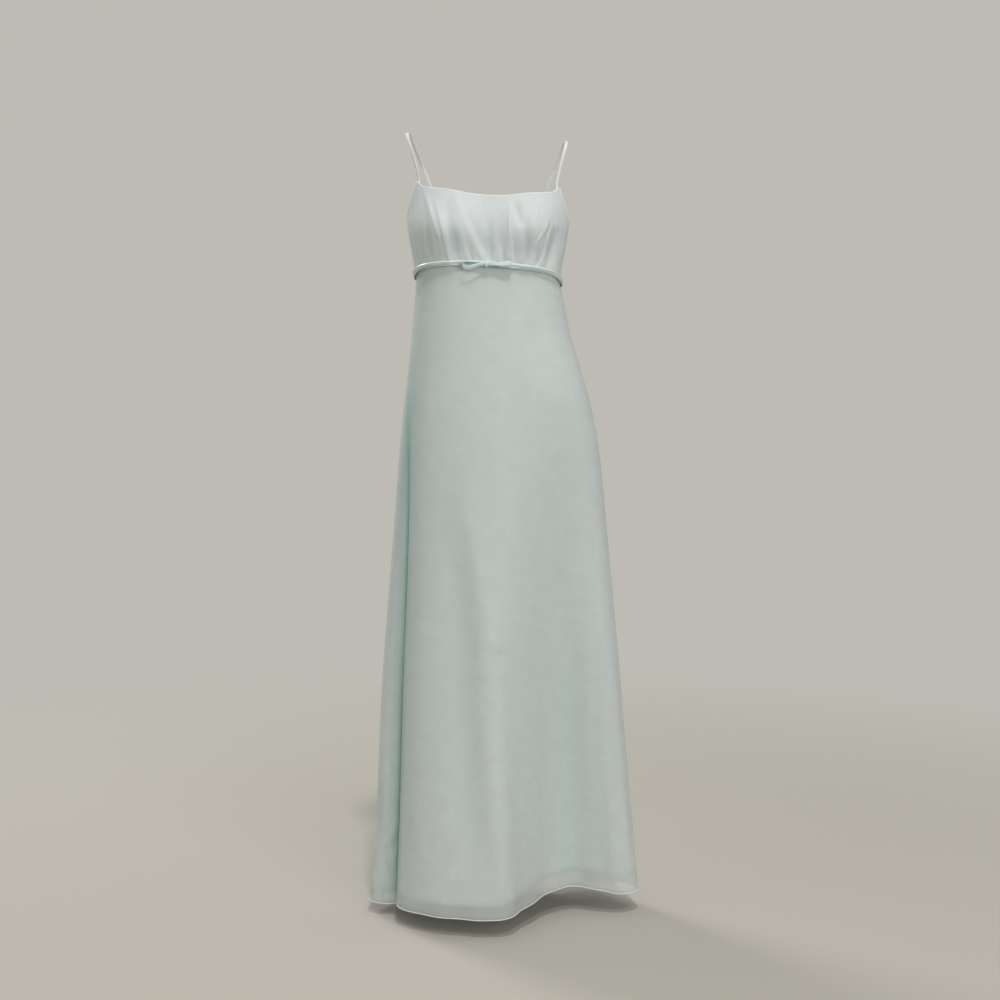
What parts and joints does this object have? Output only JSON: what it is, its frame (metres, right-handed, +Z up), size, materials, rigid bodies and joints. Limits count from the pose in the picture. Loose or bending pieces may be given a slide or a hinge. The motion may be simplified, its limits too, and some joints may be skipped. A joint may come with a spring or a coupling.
{
  "type": "sleeveless empire-waist evening gown",
  "caption": "Long evening gown with thin straps, a gathered empire bodice, a narrow tied band with a flat bow, and a flared sheer skirt over a shorter opaque lining, in its worn form.",
  "frame": {"origin": "midway between the tops of the two straps, where the wearer's shoulders hold the gown up", "axes": "+X to the wearer's left, -Y to the front, +Z up, millimetres in the source and metres here"},
  "size_m": [0.5141, 0.3334, 1.4438],
  "materials": {
    "bodice_cloth": "matte, very pale mint",
    "chiffon": "matte, sheer, very pale mint",
    "lining": "matte, opaque, very pale mint",
    "band_cloth": "matte, cut on the bias",
    "trim": "matte, almost white",
    "zip_tape": "woven tape",
    "zip_metal": "painted to match the cloth"
  },
  "bodies": {
    "gown": {"bodice_front": "bodice_cloth", "bodice_back_left": "bodice_cloth", "bodice_back_right": "bodice_cloth", "skirt_front": "chiffon", "skirt_back_left": "chiffon", "skirt_back_right": "chiffon", "lining_front": "lining", "lining_back_left": "lining", "lining_back_right": "lining", "neckline_binding": "trim", "armhole_binding_left": "trim", "armhole_binding_right": "trim", "back_binding_left": "trim", "back_binding_right": "trim", "waistband_front": "band_cloth", "waistband_back_left": "band_cloth", "waistband_back_right": "band_cloth", "strap_left": "trim", "strap_right": "trim", "bow_loop_left": "band_cloth", "bow_loop_right": "band_cloth", "bow_knot": "band_cloth", "zip_tape": "zip_tape", "zip_slider": "zip_metal"},
    "zip_pull": {"zip_pull": "zip_metal"}
  },
  "joints": [
    {"name": "zip_pull_swing", "type": "hinge", "parent": "gown", "child": "zip_pull", "pos_m": [-0.00022, 0.1031, -0.1624], "axis": [1, 0, 0], "range_deg": [0, 150]}
  ]
}
